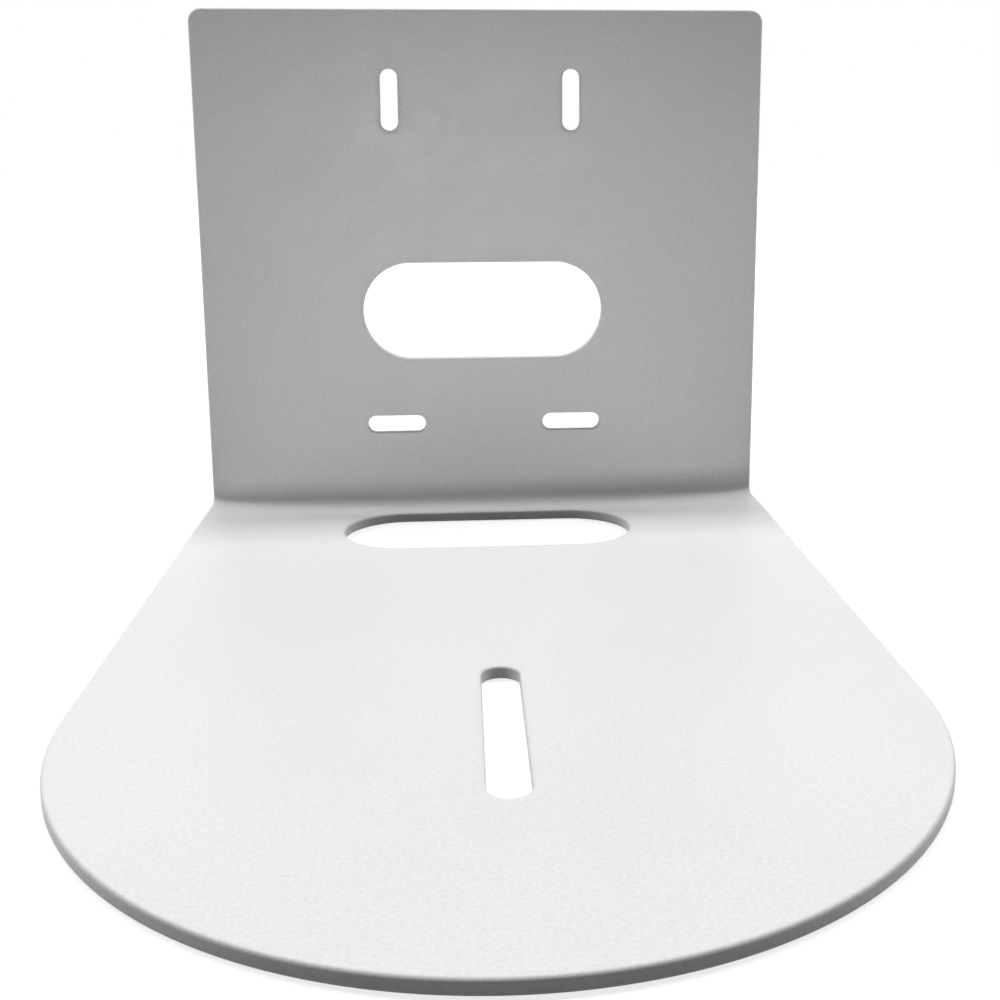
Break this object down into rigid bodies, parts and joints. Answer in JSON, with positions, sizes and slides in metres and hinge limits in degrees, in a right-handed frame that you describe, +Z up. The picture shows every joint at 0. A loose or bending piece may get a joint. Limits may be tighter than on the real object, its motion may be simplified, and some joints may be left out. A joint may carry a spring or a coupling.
{
  "type": "camera wall bracket",
  "caption": "Folded sheet bracket: an upright plate that screws to a wall box, and a round-fronted shelf for a camera.",
  "frame": {"origin": "centre of the four box screw slots, on the face that meets the wall", "axes": "+X to the right as one faces the bracket, +Y into the wall, +Z up; the shelf reaches towards -Y"},
  "size_m": [0.1436, 0.207, 0.128],
  "materials": {
    "powder_coat": "satin white powder coat"
  },
  "bodies": {
    "root": {"wall_bracket": "powder_coat"}
  },
  "joints": []
}
